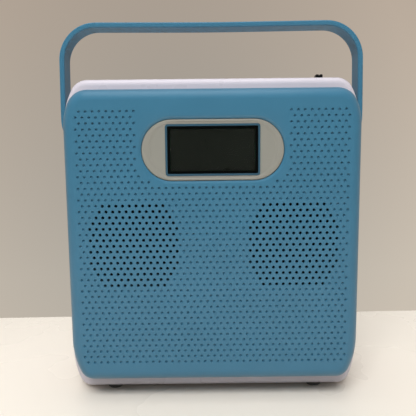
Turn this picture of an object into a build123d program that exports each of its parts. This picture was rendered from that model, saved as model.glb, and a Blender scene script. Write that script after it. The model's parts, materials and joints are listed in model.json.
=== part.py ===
from build123d import *
import os
from math import cos, pi, radians, sin, sqrt

# Millimetres. +Z is up, the radio faces -Y, +X is to its right as one looks at its face.
# The origin is on the table, under the middle of the whole object.
# A cabinet corner is a tight arc that runs into a wide one towards the side. It is given
# as the tight radius, the wide radius and the degrees that the wide arc turns through.

# Front cabinet: the coloured moulding with the perforated face
face_y = -52.0
seam_y = -28.0
front_half = 111.5
front_low = 18.8
front_high = 243.8
front_top = (17.0, 45.0, 29.0)
front_bottom = (11.0, 60.0, 18.4)
front_round = 10.0
front_wall = 3.0
face_wall = 2.5
tongue_width = 1.6
tongue_reach = 3.0
tongue_gap = 0.2

# Rear cabinet: the white moulding, which stands proud of the front one all round
back_y = 52.0
rear_half = 117.0
rear_low = 3.15
rear_high = 253.5
rear_top = (14.0, 60.0, 28.3)
rear_bottom = (11.0, 60.0, 23.3)
lip_round = 5.0
back_round = 9.0
rear_wall = 2.5

# Perforation: a hexagonal grid, pierced in front of each speaker
hole_pitch = 5.0
row_step = hole_pitch * sqrt(3) / 2
hole_radius = 0.95
hole_sides = 4
speaker_x = 60.0
speaker_z = 126.67
grille_rows = 7
grille_reach = 8.0

# Speakers, behind the pierced fields
speaker_flange = -46.5
flange_back = -45.0
basket_rim = 34.0
screw_offset = 31.0

# Display
display_z = 197.75
bezel_width = 105.0
bezel_height = 44.7
bezel_face = face_y + 0.2
bezel_back = -47.5
bevel = 2.0
frame_width = 69.8
frame_height = 37.8
window_width = 67.0
window_height = 35.0
fit_gap = 0.3

# Handle
pivot_z = 219.5
handle_half = 124.2
strap = 4.2
strap_width = 17.0
handle_top = 301.6
handle_sag = 1.0
handle_lean = 1.2
handle_knee_z = 229.0
handle_corner = 30.0
handle_edge = 1.2
stud_radius = 4.0
running = 0.06
boss_face = 119.7
collar_face = 109.5

# Disc compartment, which opens at the back
disc_z = 142.0
well_radius = 65.0
well_floor = 37.0
well_wall = 2.0
pocket_left = -72.7
pocket_right = 70.5
pocket_low = 73.5
pocket_high = 210.5
pocket_floor = 48.8
pocket_frame = 3.0
door_gap = 0.5
door_inside = 49.4
hinge_x = -70.0
hinge_y = 49.8
barrel_radius = 2.2
hinge_pin_radius = 1.0
latch_x = 82.0
hook_tip = 46.0

# Disc drive
deck_low = 24.0
deck_high = 25.5
pillars = [(-44.0, disc_z - 36), (-44.0, disc_z + 36), (44.0, disc_z + 36), (12.0, disc_z - 56)]
rail_y = 30.0
rail_offset = 20.0
rail_radius = 1.5
sled_start = 24.0
sled_half = 9.0
sled_travel = 34.0
lens_radius = 4.0
hub_radius = 14.5
nose_radius = 7.3
rack_module = 1.0
rack_line = disc_z - 28.0
pinion_teeth = 12
gear_module = 0.8
gear_teeth = 24
motor_teeth = 10
gear_x = 29.0
gear_z = rack_line - rack_module * pinion_teeth / 2
motor_x = gear_x + gear_module * (gear_teeth + motor_teeth) / 2
rack_before = 12
rack_teeth = 14
rack_end = gear_x - (rack_before + 0.5) * pi * rack_module

# Controls on the top
deck_top = rear_high
key_travel = 0.8
key_length = 15.0
key_depth = 8.0
key_top = 256.0
key_rows = {
    4.0: {"previous_key": -45.0, "play_pause_key": -15.0, "stop_key": 15.0, "next_key": 45.0},
    20.0: {"volume_down_key": -45.0, "volume_up_key": -15.0, "mode_key": 15.0, "program_key": 45.0},
}
switch_x = 86.8
switch_y = -8.0
switch_width = 6.6
switch_top = 258.25
switch_throw = 3.0
board_top = 246.4

# Aerial, stored in a groove that runs along the top of the back and out at its right end
groove_left = -98.0
groove_wall = 2.5
groove_front = 41.5
groove_floor = 241.0
aerial_x = -92.0
aerial_y = 46.5
aerial_z = 247.5
tube_start = -84.0
tube_end = 84.0

# Battery compartment
tray_half = 79.5
tray_low = 13.5
tray_high = 67.0
tray_floor = 22.0
tray_wall = 2.0

# Power supply and boards
transformer_x = -54.0
core_low = 7.2
core_leg = 4.0
main_board_front = 12.4
main_board_back = 14.0

# Sockets
inlet_x = -96.0
inlet_z = 64.0
socket_x = 98.0
headphone_z = 84.0
aux_z = 66.0
jack_radius = 1.8
jack_depth = 15.0
jack_panel_width = 18.0
jack_panel_height = 36.0
jack_panel_step = 0.4

# Fasteners and feet
post_x = 97.0
post_low = 36.0
post_high = 228.0
post_meet = -10.0
foot_radius = 6.5
foot_x = 84.0
foot_front = -18.0
foot_back = 38.0
foot_recess = 0.8


def facing(y):
    """Plane at depth y whose sketches are drawn as seen from the front."""
    return Plane(origin=(0, y, 0), x_dir=(1, 0, 0), z_dir=(0, -1, 0))


def slab(sketch, front, back):
    return extrude(facing(back) * sketch, amount=back - front)


def disc(x, z, radius, front, back):
    return slab(Pos(x, z) * Circle(radius), front, back)


def upright(x, y, radius, low, high):
    return Pos(x, y, (low + high) / 2) * Cylinder(radius, high - low)


def crosswise(y, z, radius, left, right):
    return Pos((left + right) / 2, y, z) * Rot(0, 90, 0) * Cylinder(radius, right - left)


def block(left, right, front, back, low, high):
    centre = Pos((left + right) / 2, (front + back) / 2, (low + high) / 2)
    return centre * Box(right - left, back - front, high - low)


def corner_arcs(half, edge, up, corner, inset):
    """The two arcs of the right-hand corner at the top (up = 1) or bottom (up = -1) edge."""
    tight, wide, turn = corner
    lift = sin(radians(turn))
    wide_x = half - wide
    wide_z = edge - up * (wide * lift + tight * (1 - lift))
    tight_x = wide_x + (wide - tight) * cos(radians(turn))
    tight_z = wide_z + up * (wide - tight) * lift
    return [CenterArc((tight_x, tight_z), tight - inset, up * 90, up * (turn - 90)),
            CenterArc((wide_x, wide_z), wide - inset, up * turn, -up * turn)]


def outline(half, low, high, top, bottom, inset=0.0):
    """Face of a cabinet outline, or of the line that runs inside it at a steady distance."""
    upper = corner_arcs(half, high, 1, top, inset)
    lower = corner_arcs(half, low, -1, bottom, inset)
    right = upper + lower + [Line(upper[1] @ 1, lower[1] @ 1)]
    left = [mirror(edge, about=Plane.YZ) for edge in right]
    return make_face(right + left + [Line(upper[0] @ 0, left[0] @ 0), Line(lower[0] @ 0, left[2] @ 0)])


def front_outline(inset=0.0):
    return outline(front_half, front_low, front_high, front_top, front_bottom, inset)


def rear_outline(inset=0.0):
    return outline(rear_half, rear_low, rear_high, rear_top, rear_bottom, inset)


def panel(x, z, width, height, corner, front, back):
    return slab(Pos(x, z) * RectangleRounded(width, height, corner), front, back)


def stadium(x, z, width, height, front, back):
    return slab(Pos(x, z) * SlotOverall(width, height), front, back)


def turned(x, z, points):
    """Solid turned about the axis along Y through (x, z), from (radius, y) points."""
    profile = make_face(Polyline(*points, close=True))
    return Pos(x, 0, z) * revolve(profile, Axis.Y)


def turned_upright(x, y, points):
    """Solid turned about the axis along Z through (x, y), from (radius, z) points."""
    profile = make_face(Plane.XZ * Polyline(*points, close=True))
    return Pos(x, y, 0) * revolve(profile, Axis.Z)


def both(make):
    """The same piece made on the left and on the right."""
    return [make(-1), make(1)]


def corners(half, low, high):
    return [(x, z) for x in (-half, half) for z in (low, high)]


def front_edges(solid):
    return solid.faces().sort_by(Axis.Y)[0].edges()


def back_edges(solid):
    return solid.faces().sort_by(Axis.Y)[-1].edges()


def grille_places(x):
    """Centres of the holes in front of one speaker, row by row."""
    places = []
    for row in range(-grille_rows, grille_rows + 1):
        reach = min(6.5, grille_reach - abs(row) / 2)
        first = 0.5 * (row % 2)
        steps = [first + k for k in range(8) if first + k <= reach]
        offsets = sorted({side * s for s in steps for side in (-1, 1)})
        places += [(x + hole_pitch * u, speaker_z - row_step * row) for u in offsets]
    return places


def front_cabinet():
    shell = slab(front_outline(), face_y, seam_y)
    shell = fillet(front_edges(shell), front_round)
    inside = front_outline(front_wall)
    hollow = slab(inside, face_y + face_wall, seam_y + 1)
    shell -= fillet(front_edges(hollow), front_round - front_wall)
    tongue = front_outline(front_wall - tongue_width) - inside
    shell += slab(tongue, seam_y - 1, seam_y + tongue_reach)
    for x, z in corners(post_x, post_low, post_high):
        shell += disc(x, z, 4.0, face_y + face_wall - 0.5, post_meet)
    for x, z in speaker_bosses():
        shell += disc(x, z, 3.0, face_y + face_wall - 0.5, speaker_flange)
    pilots = [disc(x, z, 1.55, post_meet - 12, post_meet + 1)
              for x, z in corners(post_x, post_low, post_high)]
    pilots += [disc(x, z, 1.25, speaker_flange - 2.4, speaker_flange + 1) for x, z in speaker_bosses()]
    shell -= pilots
    shell -= bezel_opening()
    drilled = []
    for side in (-1, 1):
        for x, z in grille_places(side * speaker_x):
            hole = Pos(x, z) * RegularPolygon(hole_radius, hole_sides)
            drilled.append(slab(hole, face_y - 1, face_y + face_wall + 1))
    return shell - drilled


def bezel_opening():
    """Hole for the display surround, with a bevel running round its mouth."""
    width = bezel_width + 2 * fit_gap
    height = bezel_height + 2 * fit_gap
    through = stadium(0, display_z, width, height, face_y - 1, face_y + face_wall + 1)
    mouth = facing(face_y - 0.01) * Pos(0, display_z) * SlotOverall(width + 2 * bevel, height + 2 * bevel)
    throat = facing(face_y + bevel / 2) * Pos(0, display_z) * SlotOverall(width, height)
    return through + loft([mouth, throat])


def speaker_bosses():
    return [(side * speaker_x + dx, speaker_z + dz) for side in (-1, 1)
            for dx, dz in corners(screw_offset, -screw_offset, screw_offset)]


def speaker_basket(x):
    flange = panel(x, speaker_z, 74, 74, 12, speaker_flange, flange_back)
    flange -= disc(x, speaker_z, basket_rim, speaker_flange - 1, flange_back + 1)
    for dx, dz in corners(screw_offset, -screw_offset, screw_offset):
        flange -= disc(x + dx, speaker_z + dz, 1.6, speaker_flange - 1, flange_back + 1)
    cup = turned(x, speaker_z, [(34.0, flange_back), (35.5, flange_back), (23.5, -27.5), (13.0, -27.5),
                                (13.0, -29.0), (22.0, -29.0)])
    cup -= [turned_window(x, angle) for angle in (45, 135, 225, 315)]
    return flange + cup


def turned_window(x, angle):
    """One of the openings between the ribs of a basket."""
    opening = slab(Pos(27.5, 0) * RectangleRounded(6.5, 22, 3), -42.0, -26.0)
    return Pos(x, 0, speaker_z) * Rot(0, angle, 0) * opening


def speaker_cone(x):
    """Surround, paper cone, dust cap and voice coil, which move as one."""
    return turned(x, speaker_z, [
        (0, -41.0), (7.0, -40.0), (10.5, -38.0), (28.6, -45.8), (30.8, -47.0), (33.0, -46.2),
        (33.0, -45.6), (30.8, -46.1), (28.8, -44.6), (11.2, -36.6), (11.2, -30.5), (10.2, -30.5),
        (10.2, -36.8), (6.8, -38.8), (0, -39.8)])


def speaker_magnet(x):
    """Top plate, ring magnet and back plate with its pole."""
    return turned(x, speaker_z, [(0, -31.0), (8.8, -31.0), (8.8, -19.5), (13.0, -19.5), (13.0, -27.5),
                                 (20.5, -27.5), (20.5, -26.0), (22.5, -26.0), (22.5, -19.5), (20.5, -19.5),
                                 (20.5, -17.5), (0, -17.5)])


def speaker_screws():
    return [turned(x, z, [(0, flange_back + 1.6), (2.8, flange_back + 1.2), (2.8, flange_back),
                          (1.2, flange_back), (1.2, -48.5), (0, -48.5)]) for x, z in speaker_bosses()]


def display_bezel():
    body = stadium(0, display_z, bezel_width, bezel_height, bezel_face, bezel_back)
    body = fillet(front_edges(body), 1.2)
    body += stadium(0, display_z, bezel_width + 5, bezel_height + 5, face_y + face_wall, bezel_back)
    body -= stadium(0, display_z, bezel_width - 9, bezel_height - 9, bezel_face - 1, bezel_face + 0.5)
    body -= panel(0, display_z, frame_width + 0.2, frame_height + 0.2, 2, bezel_face - 1, bezel_back + 1)
    for x, z in corners(45, -12, 12):
        body += disc(x, display_z + z, 2.2, bezel_back - 0.5, bezel_back + 1.1)
    return body


def window_frame():
    ring = panel(0, display_z, frame_width, frame_height, 2, bezel_face + 0.2, -48)
    ring -= panel(0, display_z, window_width, window_height, 1, bezel_face - 1, -49.3)
    return ring - panel(0, display_z, 63, 31, 1, -50, -47)


def display_window():
    return panel(0, display_z, window_width - 0.2, window_height - 0.2, 1, -50.8, -49.3)


def lcd_panel():
    return panel(0, display_z, 62, 30, 0.8, -49.2, -46.5)


def display_board():
    board = panel(0, display_z, 98, 34, 2, bezel_back + 1.1, bezel_back + 2.7)
    board += block(-20, 20, bezel_back + 2.5, bezel_back + 5, display_z - 14, display_z - 8)
    board += block(24, 36, bezel_back + 2.5, bezel_back + 4.4, display_z - 5, display_z + 7)
    return board


def rear_cabinet():
    shell = slab(rear_outline(), seam_y, back_y)
    shell = fillet(front_edges(shell), lip_round)
    shell = fillet(back_edges(shell), back_round)
    case = shell
    hollow = slab(rear_outline(rear_wall), seam_y + rear_wall, back_y - rear_wall)
    shell -= fillet(back_edges(hollow), back_round - rear_wall)
    throat = front_outline(front_wall - tongue_width - tongue_gap)
    shell -= slab(throat, seam_y - 1, seam_y + rear_wall + 1)
    shell += groove_walls() & case
    shell += door_frame() & case
    for x, z in corners(post_x, post_low, post_high):
        shell += disc(x, z, 5.2, post_meet, back_y - 1)
    for side in (-1, 1):
        shell += crosswise(0, pivot_z, 7.0, *sorted((side * collar_face, side * boss_face)))
    for x, y in corners(66, -12, 30):
        shell += upright(x, y, 2.5, board_top, rear_high - 1)
    shell -= rear_openings()
    return shell


def groove_walls():
    return block(groove_left - groove_wall, rear_half, groove_front - groove_wall, back_y,
                 groove_floor - groove_wall, rear_high)


def door_frame():
    middle = (pocket_low + pocket_high) / 2
    width = pocket_right - pocket_left + 2 * pocket_frame
    height = pocket_high - pocket_low + 2 * pocket_frame
    frame = panel((pocket_left + pocket_right) / 2, middle, width, height, 4, pocket_floor - 3, back_y)
    return frame


def rear_openings():
    """Everything that is cut through or into the rear moulding."""
    cuts = [block(groove_left, rear_half + 1, groove_front, back_y + 1, groove_floor, rear_high + 1)]
    cuts.append(upright(aerial_x, aerial_y, 1.9 + running, groove_floor - 4, groove_floor + 1))
    middle = (pocket_low + pocket_high) / 2
    cuts.append(panel((pocket_left + pocket_right) / 2, middle, pocket_right - pocket_left,
                      pocket_high - pocket_low, 2, pocket_floor, back_y + 1))
    cuts.append(block(pocket_left, pocket_left + 6, hinge_y - 2.6, back_y, pocket_low, pocket_high))
    cuts.append(disc(0, disc_z, well_radius, pocket_floor - 4, back_y))
    cuts.append(block(well_radius - 2, 69, pocket_floor - 4, back_y, disc_z - 6, disc_z + 6))
    cuts.append(upright(hinge_x, hinge_y, hinge_pin_radius, pocket_low - 2.5, pocket_high + 2.5))
    cuts.append(stadium_upright(latch_x, disc_z, 8.4, 24.4, back_y - rear_wall - 1, back_y + 1))
    cuts.append(block(-tray_half, tray_half, back_y - rear_wall - 1, back_y + 1, tray_low, tray_high))
    cuts.append(panel(inlet_x, inlet_z, 20, 12, 2, back_y - rear_wall - 1, back_y + 1))
    cuts.append(panel(socket_x, (headphone_z + aux_z) / 2, jack_panel_width + fit_gap,
                      jack_panel_height + fit_gap, 2.2, back_y - rear_wall - 1, back_y + 1))
    for side in (-1, 1):
        for step in range(8):
            z = 124 + 7 * step
            cuts.append(block(side * 99 - 9, side * 99 + 9, back_y - rear_wall - 1, back_y + 1, z, z + 2.2))
        cuts.append(crosswise(0, pivot_z, stud_radius + running, *sorted((side * 105, side * 121))))
    for x, z in corners(post_x, post_low, post_high):
        cuts.append(disc(x, z, 3.4, post_meet + 4, back_y + 1))
        cuts.append(disc(x, z, 1.7, post_meet - 1, post_meet + 5))
    for x, y in corners(foot_x, foot_front, foot_back):
        cuts.append(upright(x, y, foot_radius + 0.05, rear_low - 1, rear_low + foot_recess))
    for y, row in key_rows.items():
        for x in row.values():
            cuts.append(key_block(x, y, key_length + 0.4, key_depth + 0.4, rear_high - 4, rear_high + 1))
    reach = 1.5 + switch_throw + 0.3
    cuts.append(block(switch_x - reach, switch_x + reach, switch_y - 1.8, switch_y + 1.8,
                      rear_high - 4, rear_high + 1))
    return cuts


def stadium_upright(x, z, width, height, front, back):
    return slab(Pos(x, z) * Rot(0, 0, 90) * SlotOverall(height, width), front, back)


def key_block(x, y, length, depth, low, high):
    face = Plane.XY.offset(low) * Pos(x, y) * RectangleRounded(length, depth, 2.5)
    return extrude(face, amount=high - low)


def handle():
    """Strap bent into a bail, with round feet and a stud inside each foot."""
    foot = pivot_z - strap_width / 2
    outer = handle_line(0, foot)
    inner = handle_line(strap, foot)
    ends = [Line((side * (handle_half - strap), foot), (side * handle_half, foot)) for side in (-1, 1)]
    bail = extrude(facing(strap_width / 2) * make_face([outer, inner] + ends), amount=strap_width)
    edges = front_edges(bail) + back_edges(bail)
    bail = fillet(edges.filter_by(lambda edge: edge.length > strap + 1), handle_edge)
    side_view = crosswise(0, pivot_z, strap_width / 2, -150, 150)
    side_view += block(-150, 150, -strap_width / 2, strap_width / 2, pivot_z, handle_top + 1)
    bail = bail & side_view
    for side in (-1, 1):
        bail -= handle_taper(side, foot)
        bail += crosswise(0, pivot_z, stud_radius, *sorted((side * (collar_face - 0.2), side * 121)))
        bail -= crosswise(0, pivot_z, 1.55, *sorted((side * (collar_face - 1), side * 118)))
    return bail


def handle_line(inset, foot):
    """The line of the strap's outer face, or of a line inset from it, from foot to foot."""
    knee = handle_half - inset
    shoulder = handle_half - handle_lean - inset
    high = handle_top - inset
    bend = handle_corner - inset
    return FilletPolyline((-knee, foot), (-knee, handle_knee_z), (-shoulder, high), (0, high - handle_sag),
                          (shoulder, high), (knee, handle_knee_z), (knee, foot),
                          radius=[800, bend, 3000, bend, 800])


def handle_taper(side, foot):
    """What comes off the outside of one foot, so that it turns in towards the radio."""
    outer = side * handle_half
    low = foot - 1
    turn = ThreePointArc((outer, handle_knee_z - 4), (outer - side * 0.7, pivot_z), (outer - side * 2.8, low))
    rest = Polyline((outer - side * 2.8, low), (outer + side * 2, low), (outer + side * 2, handle_knee_z - 4),
                    (outer, handle_knee_z - 4))
    return slab(make_face([turn, rest]), -strap_width, strap_width)


def handle_washers():
    return both(lambda side: crosswise(0, pivot_z, 6.4, *sorted((side * 108.3, side * 109.3)))
                - crosswise(0, pivot_z, 1.7, *sorted((side * 108, side * 110))))


def handle_screws():
    return both(lambda side: crosswise(0, pivot_z, 3.2, *sorted((side * 106.4, side * 108.3)))
                + crosswise(0, pivot_z, 1.5, *sorted((side * 107, side * 117))))


def cd_door():
    """Door skin with a barrel along its hinge edge and a hook at the other."""
    left = hinge_x
    right = pocket_right - door_gap
    low = pocket_low + door_gap
    high = pocket_high - door_gap
    middle = (low + high) / 2
    skin = panel((left + right) / 2, middle, right - left, high - low, 1.5, door_inside, back_y)
    barrel = upright(hinge_x, hinge_y, barrel_radius, low, high)
    ring = disc(0, disc_z, 58, 48.4, door_inside + 0.2) - disc(0, disc_z, 56, 48, door_inside)
    hook = block(66, 68, hook_tip, door_inside + 0.5, disc_z - 4, disc_z + 4)
    hook += block(68, 68.8, hook_tip, hook_tip + 1.2, disc_z - 4, disc_z + 4)
    door = skin + barrel + ring + hook
    door -= panel(56, disc_z, 8, 26, 3, back_y - 1, back_y + 1)
    for end, inward in ((low, 1), (high, -1)):
        span = sorted((end - inward, end + 5 * inward))
        door -= upright(hinge_x, hinge_y, hinge_pin_radius + running, *span)
    return door


def cd_door_pins():
    return [upright(hinge_x, hinge_y, hinge_pin_radius, pocket_low - 2.5, pocket_low + 5),
            upright(hinge_x, hinge_y, hinge_pin_radius, pocket_high - 5, pocket_high + 2.5)]


def door_latch_button():
    button = stadium_upright(latch_x, disc_z, 8, 24, back_y - 4, back_y)
    button += stadium_upright(latch_x, disc_z, 11, 27, back_y - rear_wall - 1.8, back_y - rear_wall - 0.2)
    return chamfer(back_edges(button), 0.5)


def cd_well():
    """Dish that the disc lies in, with its drive window, ears and pillars."""
    dish = disc(0, disc_z, well_radius + well_wall, well_floor - 2, pocket_floor - 3)
    dish -= disc(0, disc_z, well_radius, well_floor, pocket_floor - 2)
    for x, z in corners(49.5, disc_z - 49.5, disc_z + 49.5):
        dish += disc(x, z, 5.5, pocket_floor - 5, pocket_floor - 3) - disc(0, disc_z, well_radius, 30, 60)
    for x, z in pillars:
        dish += disc(x, z, 3.5, deck_high + 1.5, well_floor - 1)
        dish -= disc(x, z, 1.65, deck_high, well_floor - 1.5)
    dish -= disc(0, disc_z, 17, well_floor - 3, well_floor + 1)
    dish -= block(0, 62.6, well_floor - 3, well_floor + 1, disc_z - 9, disc_z + 9)
    for x, z in corners(49.5, disc_z - 49.5, disc_z + 49.5):
        dish -= disc(x, z, 1.6, pocket_floor - 6, pocket_floor - 2)
    return dish


def deck_chassis():
    """Pressed plate that carries both motors, the rails and the feed gear's stud."""
    plate = panel(12, disc_z - 10, 128, 106, 6, deck_low, deck_high)
    plate -= disc(0, disc_z, 4, deck_low - 1, deck_high + 1)
    plate -= disc(motor_x, gear_z, 2.2, deck_low - 1, deck_high + 1)
    for x, z in pillars:
        plate -= disc(x, z, 3.5, deck_low - 1, deck_high + 1)
    for x in (4, 70):
        for z in (disc_z - rail_offset, disc_z + rail_offset):
            ear = block(x, x + 4, deck_high - 0.5, rail_y + 2.4, z - 2.4, z + 2.4)
            plate += ear - crosswise(rail_y, z, rail_radius, x - 1, x + 5)
    plate += disc(gear_x, gear_z, 1.2, deck_high - 0.5, 32)
    return plate


def guide_rods():
    return [crosswise(rail_y, z, rail_radius, 4, 74) for z in (disc_z - rail_offset, disc_z + rail_offset)]


def deck_dampers():
    points = [(1.9, 21.5), (5.2, 21.5), (5.2, deck_low - 0.1), (3.4, deck_low - 0.1), (3.4, deck_high + 0.1),
              (5.2, deck_high + 0.1), (5.2, deck_high + 1.5), (1.9, deck_high + 1.5)]
    return [turned(x, z, points) for x, z in pillars]


def deck_screws():
    points = [(0, 19.7), (3.6, 19.7), (3.6, 21.5), (1.6, 21.5), (1.6, 32.0), (0, 32.0)]
    return [turned(x, z, points) for x, z in pillars]


def spindle_motor():
    can = disc(0, disc_z, 12, 11, deck_low) + disc(0, disc_z, 3.8, deck_low - 1, deck_high)
    return can - disc(0, disc_z, 1.0 + running, 12, deck_high + 1)


def turntable_hub():
    """Motor shaft, platter and nose, with three catches that hold the disc."""
    hub = turned(0, disc_z, [(0, 13), (1.0, 13), (1.0, 27), (4.0, 27), (4.0, 36.2), (hub_radius, 36.2),
                             (hub_radius, 38.6), (nose_radius, 38.6), (nose_radius, 41.6), (5.2, 43.2),
                             (0, 43.2)])
    for angle in (90, 210, 330):
        hub += Pos(0, 0, disc_z) * Rot(0, angle, 0) * block(6.5, nose_radius + 0.4, 40.2, 41.4, -1, 1)
    return hub


def pickup_sled():
    """Carriage with a bored side, a forked side and the rack that drives it."""
    left = sled_start - sled_half
    right = sled_start + sled_half
    sled = block(left, right, 27.6, 33.4, disc_z - 23.2, disc_z + 24)
    sled -= block(left - 1, left + 4, 27, 34, disc_z - 12, disc_z + 12)
    sled -= block(right - 4, right + 1, 27, 34, disc_z - 12, disc_z + 12)
    sled += disc(sled_start, disc_z, lens_radius + 2, 27.6, 34.6)
    sled -= disc(sled_start, disc_z, lens_radius, 31, 36)
    sled -= crosswise(rail_y, disc_z + rail_offset, rail_radius + running, left - 1, right + 1)
    sled -= block(left - 1, right + 1, 27, 31.7, disc_z - rail_offset - rail_radius - running,
                  disc_z - rail_offset + rail_radius + running)
    return sled + rack()


def rack():
    """Straight toothed bar, its teeth pointing down at the pinion."""
    pitch = pi * rack_module
    line = [(rack_end, disc_z - 23), (rack_end, rack_line + 1.1)]
    for k in range(rack_teeth):
        x = gear_x + (k - rack_before) * pitch
        line += [(x - 0.30 * pitch, rack_line + 1.1), (x - 0.13 * pitch, rack_line - 0.85),
                 (x + 0.13 * pitch, rack_line - 0.85), (x + 0.30 * pitch, rack_line + 1.1)]
    line += [(sled_start + sled_half, rack_line + 1.1), (sled_start + sled_half, disc_z - 23)]
    return slab(make_face(Polyline(*line, close=True)), 28.0, 30.8)


def toothed(x, z, module, teeth, turn, front, back):
    """Spur wheel with straight-sided teeth; turn is the angle of its first tooth."""
    radius = module * teeth / 2
    pitch = 2 * pi / teeth
    ring = [(radius - 1.1 * module, 0.30), (radius + 0.85 * module, 0.12)]
    points = []
    for k in range(teeth):
        middle = radians(turn) + k * pitch
        for r, share in (ring[0], ring[1]):
            points.append((x + r * cos(middle - share * pitch), z + r * sin(middle - share * pitch)))
        for r, share in (ring[1], ring[0]):
            points.append((x + r * cos(middle + share * pitch), z + r * sin(middle + share * pitch)))
    return slab(make_face(Polyline(*points, close=True)), front, back)


def feed_gear():
    """Wheel and pinion moulded as one, turning on the stud of the deck."""
    wheel = toothed(gear_x, gear_z, gear_module, gear_teeth, 0, 26.2, 27.8)
    pinion = toothed(gear_x, gear_z, rack_module, pinion_teeth, 15, 27.7, 31.0)
    return wheel + pinion - disc(gear_x, gear_z, 1.2 + running, 25, 32)


def feed_pinion():
    """Motor pinion on its shaft."""
    pinion = toothed(motor_x, gear_z, gear_module, motor_teeth, 18, 26.2, 28.4)
    return pinion + disc(motor_x, gear_z, 0.8, 12, 27)


def sled_motor():
    can = disc(motor_x, gear_z, 8, 10.5, deck_low) + disc(motor_x, gear_z, 2.0, deck_low - 1, deck_high)
    return can - disc(motor_x, gear_z, 0.8 + running, 11.5, deck_high + 1)


def pickup_lens():
    rim = lens_radius - 0.1
    return turned(sled_start, disc_z, [(0, 31), (rim, 31), (rim, 35.0), (2.6, 35.4), (1.6, 35.9), (0, 36.1)])


def key(x, y):
    """Key cap with the rim that keeps it under the deck and the stem that presses its switch."""
    cap = key_block(x, y, key_length, key_depth, rear_high - 3.4, key_top)
    cap = chamfer(cap.faces().sort_by(Axis.Z)[-1].edges(), 0.6)
    cap += key_block(x, y, key_length + 2, key_depth + 2, rear_high - 4.2, rear_high - 2.7)
    return cap + block(x - 1, x + 1, y - 1, y + 1, board_top + 2.2, rear_high - 4)


def function_switch_knob():
    """Slide knob with a shallow groove across its top."""
    low = rear_high + 0.3
    half = switch_width / 2
    knob = block(switch_x - half, switch_x + half, switch_y - 4, switch_y + 4, low, switch_top)
    knob -= block(switch_x - 0.9, switch_x + 0.9, switch_y - 5, switch_y + 5,
                  switch_top - 0.5, switch_top + 1)
    knob = chamfer(knob.edges().filter_by(Axis.Y).group_by(Axis.Z)[-1], 0.3)
    stem = block(switch_x - 1.5, switch_x + 1.5, switch_y - 1.5, switch_y + 1.5, board_top + 4.6, low + 0.2)
    return knob + stem


def key_board():
    """Board under the keys, with a tact switch below each key and the slide switch."""
    board = block(-72, 98, -16, 34, board_top - 1.6, board_top)
    for y, row in key_rows.items():
        for x in row.values():
            board += block(x - 3, x + 3, y - 3, y + 3, board_top - 0.2, board_top + 1.2)
    return board + block(switch_x - 8, switch_x + 8, switch_y - 3.5, switch_y + 3.5,
                         board_top - 0.2, board_top + 4.4)


def aerial_base():
    """Swivel with two ears, turning on its own stem in the groove's floor."""
    base = upright(aerial_x, aerial_y, 4.4, groove_floor + 0.1, groove_floor + 2.2)
    base += upright(aerial_x, aerial_y, 1.9, groove_floor - 3.2, groove_floor + 1)
    for side in (-1, 1):
        ear = block(-3.0, 3.0, side * 2.4 - 0.8, side * 2.4 + 0.8, groove_floor + 2, aerial_z)
        ear += Pos(0, side * 2.4, aerial_z) * Rot(90, 0, 0) * Cylinder(3.0, 1.6)
        base += Pos(aerial_x, aerial_y, 0) * ear
    return base - disc(aerial_x, aerial_z, 1.0, aerial_y - 5, aerial_y + 5)


def aerial_rivet():
    return disc(aerial_x, aerial_z, 1.0, aerial_y - 3.2, aerial_y + 3.2)


def aerial_elbow():
    """Tongue that tilts between the ears, and the ferrule that grips the outer tube."""
    tongue = disc(aerial_x, aerial_z, 2.9, aerial_y - 1.5, aerial_y + 1.5)
    tongue += block(aerial_x, -88, aerial_y - 1.5, aerial_y + 1.5, aerial_z - 2.2, aerial_z + 2.2)
    tongue += crosswise(aerial_y, aerial_z, 3.6, -88.5, tube_start + 2)
    tongue -= crosswise(aerial_y, aerial_z, 3.0, tube_start, tube_start + 4)
    return tongue - disc(aerial_x, aerial_z, 1.0 + running, aerial_y - 3, aerial_y + 3)


def tube(outer, inner, left, right):
    bore = crosswise(aerial_y, aerial_z, inner, left - 1, right + 1)
    return crosswise(aerial_y, aerial_z, outer, left, right) - bore


def aerial_tip():
    return crosswise(aerial_y, aerial_z, 3.2, tube_end + 4, tube_end + 8)


def battery_tray():
    """Open box for six cells in two rows, with a rib between the rows."""
    tray = block(-tray_half - tray_wall, tray_half + tray_wall, tray_floor - tray_wall, back_y - rear_wall,
                 tray_low - tray_wall, tray_high + tray_wall)
    tray -= block(-tray_half, tray_half, tray_floor, back_y, tray_low, tray_high)
    middle = (tray_low + tray_high) / 2
    tray += block(-tray_half - 1, tray_half + 1, tray_floor - 1, tray_floor + 7, middle - 0.8, middle + 0.8)
    for x, z in board_posts():
        tray += disc(x, z, 2.6, main_board_back, tray_floor - 1)
    return tray


def board_posts():
    return [(x, z) for x in (-6, 74) for z in (18, 60)]


def battery_contacts():
    """A cone spring and a plate at the ends of each row of cells."""
    pieces = []
    for side, z in ((-1, 24.5), (1, 51.5)):
        wall = side * tray_half
        plate = block(*sorted((wall, wall - side * 0.6)), 26, 44, z - 9, z + 9)
        cone = Pos(wall - side * 3.1, 35, z) * Rot(0, side * 90, 0) * Cone(6, 4, 5)
        pieces.append(plate + Pos(-side * 0.1, 0, 0) * cone)
        far = -wall
        pieces.append(block(*sorted((far, far + side * 0.6)), 26, 44, z - 9, z + 9))
    return pieces


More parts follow.
